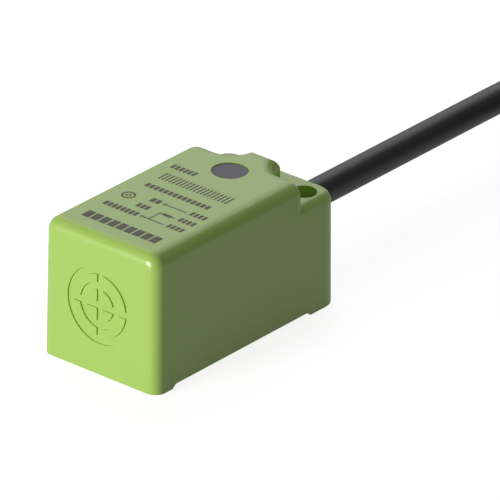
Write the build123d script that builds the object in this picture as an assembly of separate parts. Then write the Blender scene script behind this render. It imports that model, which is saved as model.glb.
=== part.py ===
from build123d import *
import math
import os

# Inductive proximity sensor in a square moulded body, with its cable. Millimetres.
# X runs across the sensing face, Y from the sensing face (-Y) to the cable (+Y), Z up.
# The origin is on the base plane, under the middle of the body.

# Body
body_width = 17.0
body_length = 31.8
body_height = 17.0
draft_angle = 0.7
long_edge_radius = 1.8
front_edge_radius = 1.4
rear_corner_radius = 2.5

# Feet: the underside is recessed between a front and a rear foot
recess_depth = 0.45
recess_front_y = -13.2
recess_rear_y = 10.75
recess_slope_length = 0.6

# Rear ledge, the nose between the two screw-head notches, and the screw holes
ledge_height = 14.0
ledge_edge_radius = 1.25
notch_front_y = 9.85
notch_corner_radius = 2.65
notch_edge_radius = 1.5
nose_half_width = 2.15
nose_rear_y = 12.7
screw_hole_diameter = 3.2
screw_hole_spacing = 11.5
screw_hole_y = 12.45

# Target relief of the sensing face
target_radii = (4.7, 3.8, 2.85, 1.95)
target_height = 8.5
target_depth = 0.18
target_gap = 0.8

# Cavity, filling opening and its cover
cavity_half_width = 6.6
cavity_front_y = -14.9
cavity_rear_y = 7.6
cavity_top = 15.7
cover_thickness = 1.2
cover_size = (14.4, 20.4)
cover_center_y = -2.2
cover_corner_radius = 0.8
fit_gap = 0.05

# Indicator
window_y = 6.45
window_diameter = 4.25
window_bottom = 15.0
window_sink = 0.08
light_guide_diameter = 1.6
led_size = (1.6, 0.8, 0.6)
led_gap = 0.2

# Sensing core and coil, on an axis along Y through the middle of the target
core_diameter = 12.4
core_length = 5.2
core_back_thickness = 1.3
core_post_radius = 2.7
core_rim_radius = 5.0
core_hole_radius = 1.0
bobbin_wall = 0.35
winding_outer_radius = 4.6
wire_slot_width = 1.6
coil_wire_diameter = 0.3
coil_wire_spacing = 0.8

# Circuit board
board_half_width = 6.0
board_front_y = -7.8
board_rear_y = 7.1
board_bottom = 11.2
board_thickness = 1.0

# Cable and what holds it
cable_diameter = 3.5
cable_height = 8.45
core_wire_diameter = 1.1
core_wire_pitch = 1.1
seal_diameter = 5.2
clamp_diameter = 5.0
clamp_span_y = (5.2, 7.2)
sheath_end_y = 4.5
solder_pad_y = 1.3
solder_pad_stagger = 1.45
solder_radius = 0.9
solder_height = 0.8
inner_bend_radius = 1.2

# Cable outside the body: a straight stretch, a slope to the base plane, a folded hank and its tail
coil_middle_radius = 14.0
coil_run_length = 34.5
coil_layers = 4
coil_places = 3
coil_entry_x = -6.75
coil_entry_y = 87.25
coil_edge_radius = 1.2
coil_slack = 0.05
lead_tip_length = 5.0
lead_tip_diameter = 0.8

top_slope = math.tan(math.radians(draft_angle))
board_top = board_bottom + board_thickness
rear_face_y = body_length / 2 - cable_height * top_slope
core_front_y = cavity_front_y + 2 * fit_gap
core_back_y = core_front_y + core_length
core_groove_y = core_back_y - core_back_thickness
coil_half_thickness = coil_places * cable_diameter / 2
coil_outer_radius = coil_middle_radius + coil_half_thickness
coil_inner_radius = coil_middle_radius - coil_half_thickness
coil_center_x = coil_entry_x + coil_outer_radius - cable_diameter / 2
coil_center_y = coil_entry_y + coil_run_length / 2
coil_height = coil_layers * cable_diameter
coil_top_z = coil_height - cable_diameter / 2
coil_far_x = 2 * coil_center_x - coil_entry_x
floor_z = cable_diameter / 2

# Points of the cable's centre line, from the rear face to the hank and from the hank to the bare end
cable_route = [
    (0, rear_face_y, cable_height),
    (0, 63, cable_height),
    (coil_entry_x, 76, floor_z),
    (coil_entry_x, coil_entry_y, floor_z),
]
tail_route = [
    (coil_far_x, coil_entry_y, coil_top_z),
    (coil_far_x, 76.5, 12.1),
    (coil_far_x, 68.5, 2.2),
    (coil_far_x, 58.5, floor_z),
]


def box_between(low, high):
    """Box given by its lowest and highest corners."""
    size = [b - a for a, b in zip(low, high)]
    middle = [(a + b) / 2 for a, b in zip(low, high)]
    return Pos(*middle) * Box(*size)


def cylinder_y(radius, y_start, y_end, x=0, z=0):
    """Cylinder along Y."""
    return Pos(x, (y_start + y_end) / 2, z) * Rot(90, 0, 0) * Cylinder(radius, y_end - y_start)


def cylinder_z(radius, z_start, z_end, x=0, y=0):
    """Cylinder along Z."""
    return Pos(x, y, (z_start + z_end) / 2) * Cylinder(radius, z_end - z_start)


def ring_y(outer_radius, inner_radius, y_start, y_end, z):
    """Plain ring with its axis along Y."""
    outer = cylinder_y(outer_radius, y_start, y_end, z=z)
    return outer - cylinder_y(inner_radius, y_start - 1, y_end + 1, z=z)


def run_lengths(points):
    """Lengths of the straight runs between a route's points."""
    return [(Vector(*b) - Vector(*a)).length for a, b in zip(points, points[1:])]


def corner_radii(points):
    """The largest arc that each corner's two runs allow, with a little of each run left straight."""
    radii = []
    for before, corner, after in zip(points, points[1:], points[2:]):
        run_in = Vector(*corner) - Vector(*before)
        run_out = Vector(*after) - Vector(*corner)
        half_turn = math.radians(run_in.get_angle(run_out)) / 2
        radii.append(0.45 * min(run_in.length, run_out.length) / math.tan(half_turn))
    return radii


def round_tube(name, points, diameter, radii=None):
    """Solid tube along straight runs joined by tangent arcs."""
    radii = radii or corner_radii(points)
    path = FilletPolyline(*points, radius=radii)
    section = Plane(origin=path @ 0, z_dir=path % 0) * Circle(diameter / 2)
    tube = sweep(section, path=path)
    expected = math.pi * diameter**2 / 4 * path.length
    print(name, "length", round(path.length, 1), "radii", [round(r, 1) for r in radii],
          "runs", [round(r, 1) for r in run_lengths(points)],
          "volume ratio", round(tube.volume / expected, 4))
    return tube


def drafted_profile(height, radius):
    """Cross-section of the body up to a height, with draft and rounded upper corners."""
    base = body_width / 2
    top = base - height * top_slope
    outline = Polyline((-base, 0), (base, 0), (top, height), (-top, height), close=True)
    face = Plane.XZ * make_face(outline)
    upper = face.vertices().group_by(Axis.Z)[-1]
    return fillet(upper, radius)


def extrude_along_y(face, y_start, y_end):
    """Extrusion of a cross-section drawn in the XZ plane, between two places along Y."""
    return Pos(0, y_end, 0) * extrude(face, amount=y_end - y_start)


def make_ledge():
    """Rear block up to the ledge, with drafted walls, rounded upright corners and a rounded upper edge."""
    plan = Rectangle(body_width, body_length)
    plan = fillet(plan.vertices().group_by(Axis.Y)[-1], rear_corner_radius)
    block = extrude(plan, amount=ledge_height, taper=draft_angle)
    block &= box_between((-body_width, 0, 0), (body_width, body_length, body_height))
    upper_edges = block.faces().sort_by(Axis.Z)[-1].edges().sort_by(Axis.Y)
    return fillet(upper_edges[1:], ledge_edge_radius)


def screw_head_notch():
    """Clearance round one screw head, open to the side and the rear."""
    reach = 2 * body_width
    plan = Pos(nose_half_width + reach / 2, notch_front_y + reach / 2) * Rectangle(reach, reach)
    corner = plan.vertices().sort_by(Axis.X)[:2].sort_by(Axis.Y)[0]
    plan = fillet(corner, notch_corner_radius)
    return Pos(0, 0, -1) * extrude(plan, amount=2 * body_height)


def notch_edges(shell):
    """Edges where the notches' walls meet the top and sides, but not their smooth seams."""
    seams = [(nose_half_width, notch_front_y + notch_corner_radius),
             (nose_half_width + notch_corner_radius, notch_front_y)]

    def on_wall(edge):
        for t in (0, 0.5, 1):
            point = edge @ t
            side_x = abs(point.X)
            inside = side_x > nose_half_width - 0.01 and point.Y > notch_front_y - 0.01
            if not inside or point.Z < 0.01 and t == 0.5:
                return False
        middle = edge @ 0.5
        smooth = any(math.hypot(abs(middle.X) - x, middle.Y - y) < 0.01 for x, y in seams)
        at_rear = middle.Y > body_width
        return not smooth and not at_rear

    return [edge for edge in shell.edges() if on_wall(edge)]


def nose_rear_rounding():
    """Cutter that rounds the nose's rear upper edge."""
    y = nose_rear_y - notch_edge_radius
    z = body_height - notch_edge_radius
    corner = box_between((-body_width, y, z), (body_width, nose_rear_y + 1, body_height + 1))
    return corner - Pos(0, y, z) * Rot(0, 90, 0) * Cylinder(notch_edge_radius, 2 * body_width)


def target_relief():
    """Shallow pockets of the target: two ring grooves, four gaps and a cross."""
    outer, ring_outer, ring_inner, disc = target_radii
    plan = Circle(outer) - Circle(ring_outer)
    plan += Circle(ring_inner) - Circle(disc)
    arms = Rectangle(target_gap, 2 * ring_outer + target_gap) + Rectangle(2 * ring_outer + target_gap, target_gap)
    ring_gaps = arms & (Circle(ring_outer + fit_gap) - Circle(ring_inner - fit_gap))
    cross = arms & Circle(disc + fit_gap)
    plan = plan + ring_gaps + cross
    y = -body_length / 2 + target_height * top_slope
    face_plane = Plane(origin=(0, y, target_height), x_dir=(1, 0, 0), z_dir=(0, -1, top_slope))
    return extrude(face_plane * plan, amount=target_depth, both=True)


def underside_recess():
    """Shallow recess across the underside, with sloping ends."""
    outline = Polyline(
        (recess_front_y, -1),
        (recess_front_y, 0),
        (recess_front_y + recess_slope_length, recess_depth),
        (recess_rear_y - recess_slope_length, recess_depth),
        (recess_rear_y, 0),
        (recess_rear_y, -1),
        close=True,
    )
    face = Plane.YZ * make_face(outline)
    return extrude(face, amount=body_width, both=True)


def cover_outline(clearance):
    """Plan of the filling opening, or of the cover that fits it."""
    width, length = cover_size
    shape = RectangleRounded(width - 2 * clearance, length - 2 * clearance, cover_corner_radius)
    return Pos(0, cover_center_y, recess_depth) * shape


def screw_holes():
    """The two mounting holes."""
    holes = [
        cylinder_z(screw_hole_diameter / 2, -1, body_height, side * screw_hole_spacing / 2, screw_hole_y)
        for side in (-1, 1)
    ]
    return holes[0] + holes[1]


def cavity():
    """Space inside the shell above the cover."""
    low = (-cavity_half_width, cavity_front_y, recess_depth + cover_thickness)
    return box_between(low, (cavity_half_width, cavity_rear_y, cavity_top))


def make_housing():
    """Moulded shell."""
    front = -body_length / 2
    rear = body_length / 2
    shell = extrude_along_y(drafted_profile(body_height, long_edge_radius), front - 1, rear + body_width)
    notch = screw_head_notch()
    shell -= notch
    shell -= mirror(notch, about=Plane.YZ)
    shell = fillet(notch_edges(shell), notch_edge_radius)
    shell = split(shell, bisect_by=Plane.XZ.offset(-nose_rear_y), keep=Keep.TOP)
    shell -= nose_rear_rounding()
    shell += make_ledge()
    front_plane = Plane(origin=(0, front, 0), x_dir=(1, 0, 0), z_dir=(0, -1, top_slope))
    shell = split(shell, bisect_by=front_plane, keep=Keep.BOTTOM)
    front_face = shell.faces().sort_by(Axis.Y)[0]
    base_edge = front_face.edges().sort_by(Axis.Z)[0]
    shell = fillet([edge for edge in front_face.edges() if edge != base_edge], front_edge_radius)
    shell -= underside_recess()
    shell -= target_relief()
    shell -= cavity()
    shell -= extrude(cover_outline(0), amount=cover_thickness)
    shell -= screw_holes()
    shell -= cylinder_z(window_diameter / 2, window_bottom, body_height + 1, y=window_y)
    shell -= cylinder_y(seal_diameter / 2, cavity_rear_y - 1, rear + 1, z=cable_height)
    return shell


def make_bottom_cover():
    """Plate flush with the underside recess."""
    return extrude(cover_outline(fit_gap), amount=cover_thickness)


def make_led_window():
    """Window disc with the light guide under it."""
    disc = cylinder_z(window_diameter / 2 - fit_gap, window_bottom, body_height - window_sink, y=window_y)
    guide_bottom = board_top + led_size[2] + led_gap
    return disc + cylinder_z(light_guide_diameter / 2, guide_bottom, window_bottom, y=window_y)


def wire_slot():
    """Slot in the core's back, and in the bobbin's rear flange, for the winding's two ends."""
    low = (-wire_slot_width / 2, core_groove_y - bobbin_wall - fit_gap, target_height + core_post_radius)
    high = (wire_slot_width / 2, core_back_y + 1, target_height + core_rim_radius)
    return box_between(low, high)


def make_pot_core():
    """Ferrite cup with a centre post, open towards the sensing face."""
    core = cylinder_y(core_diameter / 2, core_front_y, core_back_y, z=target_height)
    core -= ring_y(core_rim_radius, core_post_radius, core_front_y - 1, core_groove_y, target_height)
    core -= cylinder_y(core_hole_radius, core_front_y - 1, core_back_y + 1, z=target_height)
    return core - wire_slot()


def make_coil_bobbin():
    """Flanged former that lies in the core's groove."""
    inner = core_post_radius + fit_gap
    outer = core_rim_radius - fit_gap
    bobbin = ring_y(outer, inner, core_front_y, core_groove_y, target_height)
    window = ring_y(outer + 1, inner + bobbin_wall, core_front_y + bobbin_wall,
                    core_groove_y - bobbin_wall, target_height)
    return bobbin - window - wire_slot()


def make_coil_winding():
    """Wound copper between the bobbin's flanges."""
    inner = core_post_radius + fit_gap + bobbin_wall
    return ring_y(winding_outer_radius, inner, core_front_y + bobbin_wall,
                  core_groove_y - bobbin_wall, target_height)


def coil_wire_places():
    """X of the winding's two ends."""
    return [-coil_wire_spacing / 2, coil_wire_spacing / 2]


coil_wire_z = board_top + coil_wire_diameter
coil_wire_start_y = core_groove_y - bobbin_wall
coil_wire_end_y = board_front_y + 1.0


def make_coil_lead_wires():
    """The two ends of the winding, led back to the board."""
    radius = coil_wire_diameter / 2
    wires = [cylinder_y(radius, coil_wire_start_y, coil_wire_end_y, x, coil_wire_z) for x in coil_wire_places()]
    return Compound(children=wires)


def make_circuit_board():
    """Bare board."""
    low = (-board_half_width, board_front_y, board_bottom)
    return box_between(low, (board_half_width, board_rear_y, board_top))


ic_size = (4.9, 3.9, 1.5)
ic_place = (0.0, -3.0)
ic_pin_pitch = 1.27
ic_pin_width = 0.4
ic_pin_thickness = 0.2
ic_pin_reach = 1.0


def make_sensor_ic():
    """Eight-pin package, standing just clear of the board on its pins."""
    length, width, height = ic_size
    x, y = ic_place
    body = Box(length, width, height - ic_pin_thickness)
    body = chamfer(body.faces().sort_by(Axis.Z)[-1].edges(), ic_pin_thickness)
    return Pos(x, y, board_top + ic_pin_thickness + (height - ic_pin_thickness) / 2) * body


def make_sensor_ic_pins():
    """Gull-wing pins on both long sides."""
    x, y = ic_place
    shoulder = board_top + ic_size[2] / 2
    pins = []
    for index in range(4):
        pin_x = x + (index - 1.5) * ic_pin_pitch
        for side in (-1, 1):
            edge = y + side * ic_size[1] / 2
            path = [
                (edge, shoulder),
                (edge + side * ic_pin_reach * 0.4, shoulder),
                (edge + side * ic_pin_reach * 0.4, board_top),
                (edge + side * ic_pin_reach, board_top),
                (edge + side * ic_pin_reach, board_top + ic_pin_thickness),
                (edge + side * (ic_pin_reach * 0.4 + ic_pin_thickness), board_top + ic_pin_thickness),
                (edge + side * (ic_pin_reach * 0.4 + ic_pin_thickness), shoulder + ic_pin_thickness),
                (edge, shoulder + ic_pin_thickness),
            ]
            face = Plane.YZ * make_face(Polyline(*path, close=True))
            pins.append(Pos(pin_x, 0, 0) * extrude(face, amount=ic_pin_width / 2, both=True))
    return Compound(children=pins)


def chip_part(size, x, y, below=False, cap=0.3):
    """Ceramic chip with a metal cap at each end, as three solids, on or under the board."""
    length, width, height = size
    z = board_bottom - height / 2 if below else board_top + height / 2
    body = Pos(x, y, z) * Box(length - 2 * cap, width, height)
    ends = [Pos(x + side * (length - cap) / 2, y, z) * Box(cap, width, height) for side in (-1, 1)]
    return [body, *ends]


resistor_size = (1.6, 0.8, 0.45)
resistor_places = [(-4.4, 1.2), (-4.4, 2.8), (4.4, 1.2), (4.4, 2.8), (-1.9, 4.2)]
capacitor_size = (2.0, 1.25, 0.9)
capacitor_places = [(-4.3, -5.0), (4.3, -5.0), (-4.3, -2.8), (4.3, -2.8)]
diode_size = (2.6, 1.6, 1.1)
diode_places = [(-3.6, -2.0), (3.6, -2.0)]


def make_chip_resistors():
    """Five resistors on the board's upper side."""
    solids = [piece for x, y in resistor_places for piece in chip_part(resistor_size, x, y)]
    return Compound(children=solids)


def make_chip_capacitors():
    """Four capacitors, beside the circuit."""
    solids = [piece for x, y in capacitor_places for piece in chip_part(capacitor_size, x, y)]
    return Compound(children=solids)


def make_protection_diodes():
    """Reverse-polarity and surge diodes, under the board."""
    solids = [piece for x, y in diode_places for piece in chip_part(diode_size, x, y, below=True)]
    return Compound(children=solids)


transistor_size = (4.5, 2.5, 1.5)
transistor_tab_size = (1.7, 0.8, 0.4)
transistor_y = -5.4


def make_output_transistor():
    """Three-legged power package under the board, with its tab."""
    length, width, height = transistor_size
    body = box_between((-length / 2, transistor_y - width / 2, board_bottom - height),
                       (length / 2, transistor_y + width / 2, board_bottom))
    tab_length, tab_width, tab_height = transistor_tab_size
    tab = box_between((-tab_length / 2, transistor_y - width / 2 - tab_width, board_bottom - tab_height),
                      (tab_length / 2, transistor_y - width / 2, board_bottom))
    legs = [
        box_between((x - 0.25, transistor_y + width / 2, board_bottom - tab_height),
                    (x + 0.25, transistor_y + width / 2 + tab_width, board_bottom))
        for x in (-1.5, 0.0, 1.5)
    ]
    return Compound(children=[body, tab, *legs])


def make_led_chip():
    """Indicator under the light guide."""
    length, width, height = led_size
    return Pos(0, window_y, board_top + height / 2) * Box(length, width, height)


core_offsets = {"brown": -core_wire_pitch, "blue": 0.0, "black": core_wire_pitch}


def pad_place(offset):
    """Place of a core's pad: the pads are staggered along the board."""
    return offset, solder_pad_y + offset * solder_pad_stagger


def inner_core_route(offset):
    """From the sheath's end, forward and up to a pad under the board."""
    x, y = pad_place(offset)
    return [(x, sheath_end_y, cable_height), (x, y, cable_height), (x, y, board_bottom)]


def make_solder_joints():
    """Fillets of solder round the coil's two wires and the cable's three cores."""
    joints = []
    for x in coil_wire_places():
        blob = cylinder_z(0.38, board_top, board_top + 2 * coil_wire_diameter, x, coil_wire_end_y - 0.3)
        joints.append(blob - cylinder_y(coil_wire_diameter / 2, coil_wire_start_y, coil_wire_end_y, x, coil_wire_z))
    for offset in core_offsets.values():
        x, y = pad_place(offset)
        blob = cylinder_z(solder_radius, board_bottom - solder_height, board_bottom, x, y)
        joints.append(blob - cylinder_z(core_wire_diameter / 2, 0, board_bottom, x, y))
    return Compound(children=joints)


def make_cable_seal():
    """Elastomer sleeve that fills the bore of the rear wall round the sheath."""
    return ring_y(seal_diameter / 2 - fit_gap, cable_diameter / 2, cavity_rear_y, rear_face_y - fit_gap, cable_height)


def make_cable_clamp():
    """Crimped ring behind the rear wall."""
    return ring_y(clamp_diameter / 2, cable_diameter / 2, *clamp_span_y, cable_height)


def make_cable_sheath_end():
    """Sheath inside the housing."""
    return cylinder_y(cable_diameter / 2, sheath_end_y, rear_face_y, z=cable_height)


def clearance_box(solid):
    """Box round a small piece, with a little room."""
    bounds = solid.bounding_box()
    gap = Vector(fit_gap, fit_gap, fit_gap)
    return box_between(bounds.min - gap, bounds.max + gap)


def make_potting_resin(parts):
    """Cavity filling: it leaves a round bay for the core and coil, and a box for each small piece."""
    resin = cavity()
    resin -= cylinder_y(core_diameter / 2 + fit_gap, cavity_front_y - 1, core_back_y + fit_gap, z=target_height)
    not_boxed = ("housing", "bottom_cover", "cable_seal", "pot_core", "coil_bobbin", "coil_winding")
    for name in parts:
        if name not in not_boxed:
            for solid in parts[name].solids():
                resin -= clearance_box(solid)
    return resin


lead_fan = {"brown": -1.0, "blue": 0.1, "black": 1.0}


def lead_route(color):
    """A stripped core, from the end of the sheath to its tinned tip on the base plane."""
    x, y, z = tail_route[-1]
    side = lead_fan[color]
    rest_z = core_wire_diameter / 2
    start_x = x + core_offsets[color]
    return [
        (start_x, y, z),
        (start_x + 0.1 * side, y - 8, rest_z + 0.2),
        (start_x + 0.15 * side, y - 18, rest_z),
        (start_x + 0.1 * side, y - 30.4, rest_z),
    ]


def lead_tip(color):
    """Tinned strands at the end of a core, in line with its last run."""
    before, end = [Vector(*point) for point in lead_route(color)[-2:]]
    along = (end - before).normalized()
    middle = end + along * (lead_tip_length / 2)
    return Plane(origin=middle, z_dir=along) * Cylinder(lead_tip_diameter / 2, lead_tip_length)


def coil_slot(radius):
    """Outline of the hank at a fold radius: two straight runs joined by round folds."""
    return Pos(coil_center_x, coil_center_y, 0) * Rot(0, 0, 90) * SlotCenterToCenter(coil_run_length, 2 * radius)


def coil_solid(*tubes):
    """Outer shape of the folded hank of cable, less the tubes that run into it."""
    hank = extrude(coil_slot(coil_outer_radius + coil_slack) - coil_slot(coil_inner_radius), amount=coil_height)
    hank = fillet(hank.faces().filter_by(Axis.Z).edges(), coil_edge_radius)
    for tube in tubes:
        hank -= tube
    return hank


parts = {
    "housing": make_housing(),
    "bottom_cover": make_bottom_cover(),
    "led_window": make_led_window(),
    "pot_core": make_pot_core(),
    "coil_bobbin": make_coil_bobbin(),
    "coil_winding": make_coil_winding(),
    "coil_lead_wires": make_coil_lead_wires(),
    "circuit_board": make_circuit_board(),
    "sensor_ic": make_sensor_ic(),
    "sensor_ic_pins": make_sensor_ic_pins(),
    "output_transistor": make_output_transistor(),
    "chip_resistors": make_chip_resistors(),
    "chip_capacitors": make_chip_capacitors(),
    "protection_diodes": make_protection_diodes(),
    "led_chip": make_led_chip(),
    "solder_joints": make_solder_joints(),
    "cable_seal": make_cable_seal(),
    "cable_clamp": make_cable_clamp(),
    "cable_sheath_end": make_cable_sheath_end(),
}
for color, offset in core_offsets.items():
    name = f"core_{color}_inner"
    parts[name] = round_tube(name, inner_core_route(offset), core_wire_diameter, [inner_bend_radius])
parts["potting_resin"] = make_potting_resin(parts)

parts["cable_run"] = round_tube("cable_run", cable_route, cable_diameter)
parts["cable_tail"] = round_tube("cable_tail", tail_route, cable_diameter)
parts["cable_coil"] = coil_solid(parts["cable_run"], parts["cable_tail"])
for color in core_offsets:
    lead = round_tube(f"lead_{color}", lead_route(color), core_wire_diameter)
    parts[f"lead_{color}"] = lead - parts["cable_tail"]
    parts[f"tip_{color}"] = lead_tip(color)

os.makedirs("parts", exist_ok=True)
for name, shape in parts.items():
    export_step(shape, f"parts/{name}.step")
print(len(parts), "sub-parts written")
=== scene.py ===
"""Looks of the square inductive proximity sensor: materials, print, cable, light and camera."""

import math

import bpy
from mathutils import Matrix, Vector


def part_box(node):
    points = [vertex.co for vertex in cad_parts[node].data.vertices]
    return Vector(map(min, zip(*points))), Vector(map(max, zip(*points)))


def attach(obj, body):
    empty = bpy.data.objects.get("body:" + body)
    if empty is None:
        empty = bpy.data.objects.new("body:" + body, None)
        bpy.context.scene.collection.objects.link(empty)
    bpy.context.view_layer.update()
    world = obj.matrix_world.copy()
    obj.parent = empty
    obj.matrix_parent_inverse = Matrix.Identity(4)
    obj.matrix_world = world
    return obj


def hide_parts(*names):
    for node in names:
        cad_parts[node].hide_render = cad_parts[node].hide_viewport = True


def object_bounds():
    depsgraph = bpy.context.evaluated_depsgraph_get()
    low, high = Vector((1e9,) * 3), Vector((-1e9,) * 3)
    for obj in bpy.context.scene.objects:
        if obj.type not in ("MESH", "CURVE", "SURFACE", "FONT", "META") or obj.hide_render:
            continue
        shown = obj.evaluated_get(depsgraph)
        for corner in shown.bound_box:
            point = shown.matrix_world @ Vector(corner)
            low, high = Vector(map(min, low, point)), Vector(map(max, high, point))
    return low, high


MM = 0.001

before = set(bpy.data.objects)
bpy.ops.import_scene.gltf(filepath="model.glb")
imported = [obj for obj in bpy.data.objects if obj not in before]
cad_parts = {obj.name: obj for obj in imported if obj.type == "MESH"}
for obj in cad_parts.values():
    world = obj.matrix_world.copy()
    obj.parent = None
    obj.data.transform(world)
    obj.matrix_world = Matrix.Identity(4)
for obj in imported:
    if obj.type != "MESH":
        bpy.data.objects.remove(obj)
cad_low, cad_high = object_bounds()
body_low, body_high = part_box("housing")
top_z = body_high.z

# ------------------------------------------------------------------ material helpers


def new_material(name):
    """Empty node material with its Principled shader."""
    material = bpy.data.materials.new(name)
    material.use_nodes = True
    return material, material.node_tree, material.node_tree.nodes["Principled BSDF"]


def object_coordinates(tree):
    """Coordinates in metres that follow the piece."""
    return tree.nodes.new("ShaderNodeTexCoord").outputs["Object"]


def noise(tree, scale, detail=3.0, roughness=0.55):
    """Noise texture on object coordinates; scale is in cycles per metre."""
    node = tree.nodes.new("ShaderNodeTexNoise")
    node.inputs["Scale"].default_value = scale
    node.inputs["Detail"].default_value = detail
    node.inputs["Roughness"].default_value = roughness
    tree.links.new(object_coordinates(tree), node.inputs["Vector"])
    return node.outputs["Fac"]


def ramp(tree, factor, stops):
    """Colour ramp with (position, colour) stops."""
    node = tree.nodes.new("ShaderNodeValToRGB")
    elements = node.color_ramp.elements
    for element, (position, color) in zip(elements, stops):
        element.position = position
        element.color = (*color, 1.0)
    for position, color in stops[2:]:
        elements.new(position).color = (*color, 1.0)
    tree.links.new(factor, node.inputs["Fac"])
    return node.outputs["Color"]


def spread_value(tree, factor, low, high):
    """Maps a 0..1 factor to a range."""
    node = tree.nodes.new("ShaderNodeMapRange")
    node.inputs["To Min"].default_value = low
    node.inputs["To Max"].default_value = high
    tree.links.new(factor, node.inputs["Value"])
    return node.outputs["Result"]


def bump(tree, shader, height, depth):
    """Bump of a given depth in metres."""
    node = tree.nodes.new("ShaderNodeBump")
    node.inputs["Strength"].default_value = 1.0
    node.inputs["Distance"].default_value = depth
    tree.links.new(height, node.inputs["Height"])
    tree.links.new(node.outputs["Normal"], shader.inputs["Normal"])


def shade(color, factor):
    """Colour made lighter or darker."""
    return tuple(min(1.0, channel * factor) for channel in color)


def mottled(name, color, roughness, variation=0.06, tone_scale=180.0, grain_scale=9000.0,
            grain_depth=0.000004, specular=0.5, metallic=0.0):
    """Material with slight tone variation, uneven gloss and a fine grain."""
    material, tree, shader = new_material(name)
    tone = noise(tree, tone_scale)
    low, high = shade(color, 1 - variation), shade(color, 1 + variation)
    tree.links.new(ramp(tree, tone, [(0.3, low), (0.7, high)]), shader.inputs["Base Color"])
    gloss = noise(tree, tone_scale * 7)
    tree.links.new(spread_value(tree, gloss, roughness * 0.88, roughness * 1.12), shader.inputs["Roughness"])
    shader.inputs["Specular IOR Level"].default_value = specular
    shader.inputs["Metallic"].default_value = metallic
    bump(tree, shader, noise(tree, grain_scale, detail=2.0), grain_depth)
    return material


def assign(material, *names):
    """Gives CAD nodes or pieces a material in place of what they came with."""
    for name in names:
        piece = bpy.data.objects[name]
        piece.data.materials.clear()
        piece.data.materials.append(material)


# ------------------------------------------------------------------ materials

lime = (0.40, 0.62, 0.115)

green_shell = mottled("green_shell", lime, 0.3, variation=0.012, tone_scale=120.0,
                      grain_scale=16000.0, grain_depth=0.0000025, specular=0.8)
cover_plastic = mottled("cover_plastic", shade(lime, 0.92), 0.42, variation=0.02, specular=0.6)
smoked_window = mottled("smoked_window", (0.045, 0.047, 0.062), 0.3, variation=0.08, specular=0.35)
sheath_vinyl = mottled("sheath_vinyl", (0.018, 0.018, 0.019), 0.42, variation=0.12,
                       grain_scale=5000.0, grain_depth=0.000006, specular=0.6)
print_ink = mottled("print_ink", (0.095, 0.075, 0.045), 0.5, variation=0.18, tone_scale=2500.0)
core_vinyl = {
    "brown": mottled("brown_vinyl", (0.13, 0.05, 0.022), 0.38),
    "blue": mottled("blue_vinyl", (0.015, 0.09, 0.38), 0.38),
    "black": mottled("black_vinyl", (0.014, 0.014, 0.015), 0.38),
}
tinned = mottled("tinned_copper", (0.62, 0.61, 0.58), 0.3, grain_scale=7000.0, metallic=1.0)
elastomer = mottled("elastomer", (0.02, 0.02, 0.021), 0.7)
brass = mottled("crimped_brass", (0.62, 0.42, 0.15), 0.32, metallic=1.0)
ferrite = mottled("ferrite", (0.05, 0.05, 0.055), 0.62, variation=0.2, tone_scale=1500.0, grain_depth=0.00001)
nylon = mottled("natural_nylon", (0.68, 0.64, 0.52), 0.5)
mask_green = mottled("solder_mask", (0.012, 0.12, 0.045), 0.35, variation=0.15, tone_scale=900.0)
epoxy_black = mottled("moulding_compound", (0.02, 0.02, 0.021), 0.6, variation=0.15, grain_depth=0.000008)
chip_ceramic = mottled("chip_ceramic", (0.36, 0.27, 0.17), 0.5, variation=0.15, tone_scale=2500.0)
led_epoxy = mottled("led_epoxy", (0.75, 0.22, 0.05), 0.2)
resin = mottled("casting_resin", (0.022, 0.022, 0.022), 0.25, variation=0.25)


def winding_material():
    """Enamelled copper with its turns as fine ridges along the coil's axis, with painted shade in the grooves
    between turns and a painted highlight on the ridges.
    """
    material, tree, shader = new_material("copper_winding")
    wave = tree.nodes.new("ShaderNodeTexWave")
    wave.bands_direction = "Y"
    wave.inputs["Scale"].default_value = 1500.0
    tree.links.new(object_coordinates(tree), wave.inputs["Vector"])
    # Painted shade and highlight: dark copper in the grooves between turns, light copper on the ridges.
    groove_shade_ridge_highlight = [(0.1, (0.28, 0.1, 0.035)), (0.8, (0.78, 0.34, 0.13))]
    tree.links.new(ramp(tree, wave.outputs["Fac"], groove_shade_ridge_highlight), shader.inputs["Base Color"])
    shader.inputs["Metallic"].default_value = 1.0
    shader.inputs["Roughness"].default_value = 0.3
    bump(tree, shader, wave.outputs["Fac"], 0.00004)
    return material


assign(green_shell, "housing")
assign(cover_plastic, "bottom_cover")
assign(smoked_window, "led_window")
assign(ferrite, "pot_core")
assign(nylon, "coil_bobbin")
assign(winding_material(), "coil_winding", "coil_lead_wires")
assign(mask_green, "circuit_board")
assign(epoxy_black, "sensor_ic", "output_transistor", "protection_diodes")
assign(chip_ceramic, "chip_resistors", "chip_capacitors")
assign(tinned, "sensor_ic_pins", "solder_joints", "tip_brown", "tip_blue", "tip_black")
assign(led_epoxy, "led_chip")
assign(elastomer, "cable_seal")
assign(brass, "cable_clamp")
assign(sheath_vinyl, "cable_sheath_end")
assign(resin, "potting_resin")
for color, vinyl in core_vinyl.items():
    assign(vinyl, f"core_{color}_inner")

# ------------------------------------------------------------------ camera


def view_axes(azimuth, elevation, roll):
    """Right, up and backward directions of a camera looking at the object."""
    a, e = math.radians(azimuth), math.radians(elevation)
    back = Vector((math.sin(a) * math.cos(e), -math.cos(a) * math.cos(e), math.sin(e)))
    right = Vector((math.cos(a), math.sin(a), 0.0))
    up = back.cross(right)
    turn = Matrix.Rotation(math.radians(roll), 3, back)
    return turn @ right, turn @ up, back


camera_azimuth = 39.923
camera_elevation = 26.727
camera_roll = 0.561
camera_distance = 900.87 * MM
aim_right = 6.566 * MM
aim_up = 8.449 * MM
sensor_width = 36.0
focal_length = 16.0 * sensor_width


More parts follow.
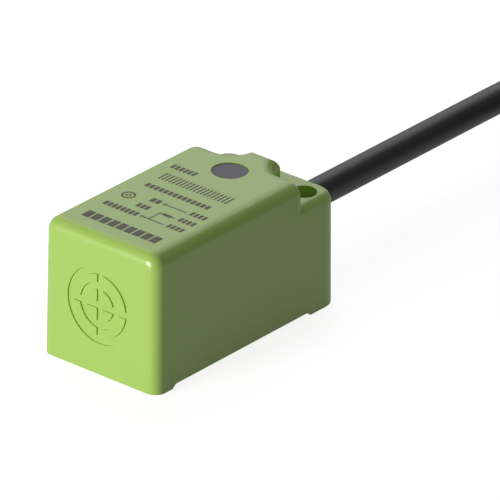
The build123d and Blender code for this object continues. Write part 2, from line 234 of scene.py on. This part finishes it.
def place_camera():
    """Long-lens camera, aimed beside and above the object's origin."""
    right, up, back = view_axes(camera_azimuth, camera_elevation, camera_roll)
    data = bpy.data.cameras.new("camera")
    data.sensor_width = sensor_width
    data.lens = focal_length
    data.clip_start = 0.01
    data.clip_end = 20.0
    camera = bpy.data.objects.new("camera", data)
    bpy.context.scene.collection.objects.link(camera)
    rotation = Matrix((right, up, back)).transposed().to_4x4()
    place = right * aim_right + up * aim_up + back * camera_distance
    camera.matrix_world = Matrix.Translation(place) @ rotation
    bpy.context.scene.camera = camera


place_camera()

# ------------------------------------------------------------------ cable

cable_diameter = 3.5 * MM
core_diameter = 1.1 * MM
coil_middle_radius = 14.0 * MM
coil_run_length = 34.5 * MM
coil_layers = 4
coil_places_across = 3
coil_full_turns = 11
coil_fold_steps = 7
coil_run_steps = 4
coil_entry = Vector((-6.75 * MM, 87.25 * MM, cable_diameter / 2))
coil_outer_turn = coil_middle_radius + (coil_places_across - 1) / 2 * cable_diameter
rear_face_y = 15.7968
cable_height = 8.45
exit_point = Vector((0.0, rear_face_y * MM, cable_height * MM))
entry_x = coil_entry.x / MM
far_x = entry_x + 2 * coil_outer_turn / MM

# The cable's control points in millimetres, from the rear face to the hank and from the hank to its end.
# The straight point keeps the first stretch level.
straight_point = (0, 41.5, cable_height)
run_points = [(0, 63, cable_height), (entry_x, 76, 1.75)]
tail_points = [(far_x, 76.5, 12.1), (far_x, 68.5, 2.2), (far_x, 58.5, 1.75)]

# Where in a turn's last fold the cable steps up a layer, and where it steps one place in or out, in steps
rise_window = (-2.0, 2.5)
shift_window = (2.5, 6.0)


def eased(value, window):
    """0 before the window, 1 after it, smooth between."""
    low, high = window
    t = min(1.0, max(0.0, (value - low) / (high - low)))
    return t * t * (3 - 2 * t)


def coil_places():
    """Place across and layer of each turn, winding in and out by turns."""
    places = []
    for layer in range(coil_layers):
        order = range(coil_places_across)
        places += [(place, layer) for place in (order if layer % 2 == 0 else reversed(order))]
    return places


def turn_point(step, radius):
    """Place along one turn, from the hank's middle: run, fold, run back, fold."""
    half = coil_run_steps + coil_fold_steps
    side = 1 if step < half else -1
    along = step % half
    if along < coil_run_steps:
        x, y = -radius, (along / coil_run_steps - 0.5) * coil_run_length
    else:
        angle = math.pi * (along - coil_run_steps) / coil_fold_steps
        wide = 1 + (1 / math.cos(math.pi / coil_fold_steps / 2) - 1) * math.sin(angle)
        x, y = -radius * wide * math.cos(angle), radius * wide * math.sin(angle) + coil_run_length / 2
    return side * x, side * y


def coil_points():
    """Control points of the folded cable, clockwise from above, from where it enters on the floor."""
    places = coil_places()
    steps = 2 * (coil_run_steps + coil_fold_steps)
    last_fold = steps - coil_fold_steps
    points = []
    for count in range(coil_full_turns * steps + last_fold + 1):
        index, step = divmod(count, steps)
        place, layer = places[index]
        following = places[min(index + 1, len(places) - 1)]
        place += (following[0] - place) * eased(step - last_fold, shift_window)
        layer += (following[1] - layer) * eased(step - last_fold, rise_window)
        x, y = turn_point(step, coil_outer_turn - place * cable_diameter)
        middle = coil_entry + Vector((coil_outer_turn, coil_run_length / 2, layer * cable_diameter))
        points.append(middle + Vector((x, y, 0)))
    return points


def to_metres(points):
    """Given points, from millimetres."""
    return [Vector(point) * MM for point in points]


def round_cord(name, points, diameter, material):
    """Round tube on one smooth NURBS spline."""
    curve = bpy.data.curves.new(name, "CURVE")
    curve.dimensions = "3D"
    curve.resolution_u = 6
    curve.bevel_depth = diameter / 2
    curve.bevel_resolution = 7
    curve.use_fill_caps = True
    spline = curve.splines.new("NURBS")
    spline.points.add(len(points) - 1)
    for control, point in zip(spline.points, points):
        control.co = (*point, 1.0)
    spline.order_u = 3
    spline.use_endpoint_u = True
    curve.materials.append(material)
    piece = bpy.data.objects.new(name, curve)
    bpy.context.scene.collection.objects.link(piece)
    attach(piece, "root")
    return piece


def make_cable():
    """The whole sheathed cable."""
    points = [exit_point, *to_metres([straight_point, *run_points]), *coil_points(), *to_metres(tail_points)]
    cable = round_cord("cable", points, cable_diameter, sheath_vinyl)
    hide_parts("cable_run", "cable_coil", "cable_tail")


lead_fan = {"brown": -1.0, "blue": 0.1, "black": 1.0}
lead_offset = {"brown": -1.1, "blue": 0.0, "black": 1.1}


def lead_points(color):
    """A stripped core's points in millimetres, from the sheath's end to its tinned tip."""
    x, y, z = tail_points[-1]
    side = lead_fan[color]
    rest_z = core_diameter / MM / 2
    start_x = x + lead_offset[color]
    return [
        (start_x, y, z),
        (start_x + 0.1 * side, y - 8, rest_z + 0.2),
        (start_x + 0.15 * side, y - 18, rest_z),
        (start_x + 0.1 * side, y - 30.4, rest_z),
    ]


def make_leads():
    """The three cores beyond the sheath."""
    for color in lead_fan:
        points = to_metres(lead_points(color))
        lead = round_cord(f"core_{color}", points, core_diameter, core_vinyl[color])
        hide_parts(f"lead_{color}")


make_cable()
make_leads()

# ------------------------------------------------------------------ shell edges


def soften_edges(name, width):
    """Small rounding on the moulded shell's sharp edges."""
    bevel = bpy.data.objects[name].modifiers.new("soft_edges", "BEVEL")
    bevel.width = width
    bevel.segments = 2
    bevel.limit_method = "ANGLE"
    bevel.angle_limit = math.radians(35)
    bevel.harden_normals = True


soften_edges("housing", 0.12 * MM)

# ------------------------------------------------------------------ print

print_rise = 0.012 * MM
print_z = top_z + print_rise


def mesh_object(name, vertices, faces, material):
    """Piece made from a list of vertices and faces, fixed to the housing."""
    mesh = bpy.data.meshes.new(name)
    mesh.from_pydata(vertices, [], faces)
    mesh.materials.append(material)
    piece = bpy.data.objects.new(name, mesh)
    bpy.context.scene.collection.objects.link(piece)
    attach(piece, "root")
    return piece


def bar(low, high):
    """Rectangle given by two corners in millimetres."""
    return [(low[0], low[1]), (high[0], low[1]), (high[0], high[1]), (low[0], high[1])]


def blocks(x_start, x_end, y_middle, height, pitch, gap):
    """Row of plain blocks of a common pitch."""
    count = max(1, round((x_end - x_start) / pitch))
    step = (x_end - x_start) / count
    return [
        bar((x_start + index * step + gap / 2, y_middle - height / 2),
            (x_start + (index + 1) * step - gap / 2, y_middle + height / 2))
        for index in range(count)
    ]


def ring_shapes(x, y, outer, inner, steps=20):
    """Four-sided shapes that make up a ring."""
    shapes = []
    for index in range(steps):
        a = math.radians(360 * index / steps)
        b = math.radians(360 * (index + 1) / steps)
        corners = [(outer, a), (outer, b), (inner, b), (inner, a)]
        shapes.append([(x + reach * math.cos(angle), y + reach * math.sin(angle)) for reach, angle in corners])
    return shapes


line_width = 0.16
supply_rows = (-8.75, -4.85)
load_row = -6.8
label_rows = ((supply_rows[0], -5.45), (load_row, -2.3), (supply_rows[1], -1.95))
mark_center = (-4.5, -5.7)


def line_across(x_start, x_end, y):
    """Thin printed line along X."""
    return bar((x_start, y - line_width / 2), (x_end, y + line_width / 2))


def text_stand_ins():
    """Rows of plain blocks: start, end, middle, height, pitch and gap of each."""
    shapes = blocks(-5.35, 5.65, -12.15, 1.5, 1.2, 0.22)
    shapes += blocks(-5.0, 5.2, 0.5, 1.7, 0.51, 0.3)
    shapes += blocks(-4.9, 4.55, -2.35, 0.85, 0.7, 0.18)
    shapes += blocks(-5.75, -2.05, 3.1, 0.95, 0.62, 0.2)
    for y, left in label_rows:
        shapes += blocks(left, -0.45, y, 0.95, 0.65, 0.16)
        shapes += blocks(3.65, 6.05, y + 0.2, 0.9, 0.62, 0.2)
    return shapes


def wiring_diagram():
    """Two supply lines with round ends, and a load joined to the front one."""
    shapes = []
    for y in supply_rows:
        shapes.append(line_across(0.35, 3.25, y))
        shapes += ring_shapes(0.12, y, 0.26, 0.12)
    shapes.append(bar((1.0, supply_rows[0]), (1.0 + line_width, load_row)))
    shapes.append(line_across(1.0, 1.5, load_row))
    shapes.append(bar((1.5, load_row - 0.25), (2.7, load_row + 0.25)))
    shapes.append(line_across(2.7, 3.25, load_row))
    return shapes


def print_layout():
    """All printed shapes on the top face, in millimetres: blocks, a wiring diagram and a plain ring mark."""
    shapes = text_stand_ins() + wiring_diagram()
    shapes += ring_shapes(*mark_center, 0.85, 0.62)
    shapes += ring_shapes(*mark_center, 0.36, 0.2)
    return shapes


def make_print():
    """The printed shapes as one thin piece."""
    vertices, faces = [], []
    for shape in print_layout():
        start = len(vertices)
        vertices += [(x * MM, y * MM, print_z) for x, y in shape]
        faces.append(tuple(range(start, start + len(shape))))
    mesh_object("top_print", vertices, faces, print_ink)


make_print()

# ------------------------------------------------------------------ light and floor


def softbox(name, direction, distance, size, strength):
    """Square soft light that gives a white surface facing it a radiance of strength."""
    data = bpy.data.lights.new(name, "AREA")
    data.shape = "SQUARE"
    data.size = size
    data.energy = strength * math.pi**2 * distance**2
    lamp = bpy.data.objects.new(name, data)
    bpy.context.scene.collection.objects.link(lamp)
    toward = Vector(direction).normalized()
    lamp.location = Vector((0.0, 0.0, (body_low.z + body_high.z) / 2)) + toward * distance
    lamp.rotation_mode = "QUATERNION"
    lamp.rotation_quaternion = toward.to_track_quat("Z", "Y")


def make_world(level):
    """Even grey surroundings."""
    world = bpy.data.worlds.new("studio")
    world.use_nodes = True
    world.node_tree.nodes["Background"].inputs["Color"].default_value = (1.0, 1.0, 1.0, 1.0)
    world.node_tree.nodes["Background"].inputs["Strength"].default_value = level
    bpy.context.scene.world = world


def floor_material():
    """Pale studio floor that shows white and keeps a faint contact shadow."""
    camera_glow = 0.85
    mirrored_glow = 0.4
    material, tree, shader = new_material("studio_floor")
    shader.inputs["Base Color"].default_value = (0.4, 0.4, 0.4, 1.0)
    shader.inputs["Roughness"].default_value = 0.9
    shader.inputs["Specular IOR Level"].default_value = 0.0
    path = tree.nodes.new("ShaderNodeLightPath")
    shader.inputs["Emission Color"].default_value = (1.0, 1.0, 1.0, 1.0)
    seen = tree.nodes.new("ShaderNodeMath")
    seen.operation = "MULTIPLY"
    seen.inputs[1].default_value = camera_glow
    tree.links.new(path.outputs["Is Camera Ray"], seen.inputs[0])
    mirrored = tree.nodes.new("ShaderNodeMath")
    mirrored.operation = "MULTIPLY_ADD"
    mirrored.inputs[1].default_value = mirrored_glow
    tree.links.new(path.outputs["Is Glossy Ray"], mirrored.inputs[0])
    tree.links.new(seen.outputs["Value"], mirrored.inputs[2])
    tree.links.new(mirrored.outputs["Value"], shader.inputs["Emission Strength"])
    return material


def make_floor(half_size):
    """Large plane under the object."""
    mesh = bpy.data.meshes.new("floor")
    corners = [(-half_size, -half_size, 0), (half_size, -half_size, 0), (half_size, half_size, 0),
               (-half_size, half_size, 0)]
    mesh.from_pydata(corners, [], [(0, 1, 2, 3)])
    mesh.materials.append(floor_material())
    floor = bpy.data.objects.new("floor", mesh)
    floor.location.z = cad_low.z - 0.00002
    bpy.context.scene.collection.objects.link(floor)


make_world(0.2)
make_floor(6.0)
softbox("key", (-0.22, -0.98, 0.12), 0.6, 0.2, 0.98)
softbox("top_light", (-0.5, 0.6, 0.62), 0.6, 0.6, 0.36)
bpy.context.scene.view_settings.view_transform = "Standard"
